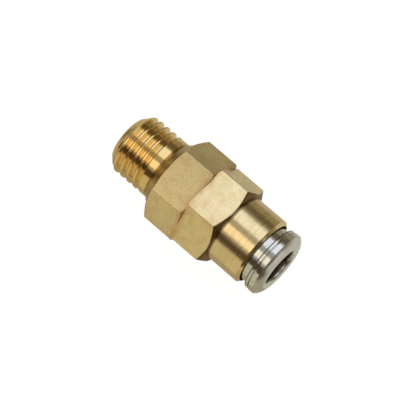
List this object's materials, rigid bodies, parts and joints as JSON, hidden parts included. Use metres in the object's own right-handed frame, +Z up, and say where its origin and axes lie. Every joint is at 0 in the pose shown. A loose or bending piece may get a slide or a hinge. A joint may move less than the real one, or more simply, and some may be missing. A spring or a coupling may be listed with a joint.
{
  "type": "flow control valve",
  "caption": "Straight brass flow control valve with a male thread, two hexes and a push-in tube socket; holds a strainer, metering pin and check poppet.",
  "frame": {"origin": "on the flow axis, in the plane of the inlet hex's seating shoulder", "axes": "+X along the flow axis from the thread to the collar, +Z up with the valve lying on one corner of each hex"},
  "size_m": [0.03, 0.0146, 0.0134],
  "materials": {
    "brass": "machined brass, polished on the thread, satin on the flats and turned on the sleeve",
    "nickel_plate": "bright nickel plating",
    "steel": "bright stainless steel",
    "copper": "annealed copper",
    "sintered_bronze": "matte sintered bronze",
    "rubber": "matte black rubber"
  },
  "bodies": {
    "valve_body": {"inlet_body": "brass", "outlet_body": "brass", "body_gasket": "copper", "strainer_retainer": "steel", "inlet_strainer": "sintered_bronze", "metering_bush": "brass", "metering_pin": "steel", "seat_bush": "steel", "poppet_spring": "steel", "spring_seat": "steel", "tube_seal": "rubber", "seal_washer": "brass", "collet_guide": "steel"},
    "poppet": {"poppet": "brass", "poppet_seal": "rubber"},
    "collet": {"release_collet": "nickel_plate"}
  },
  "joints": [
    {"name": "poppet_slide", "type": "slide", "parent": "valve_body", "child": "poppet", "axis": [1, 0, 0], "range_m": [0, 0.001], "stiffness_N_per_m": 300, "springref_m": -0.0015, "deforming": ["poppet_spring"]},
    {"name": "collet_slide", "type": "slide", "parent": "valve_body", "child": "collet", "axis": [1, 0, 0], "range_m": [-0.001, 0]}
  ]
}
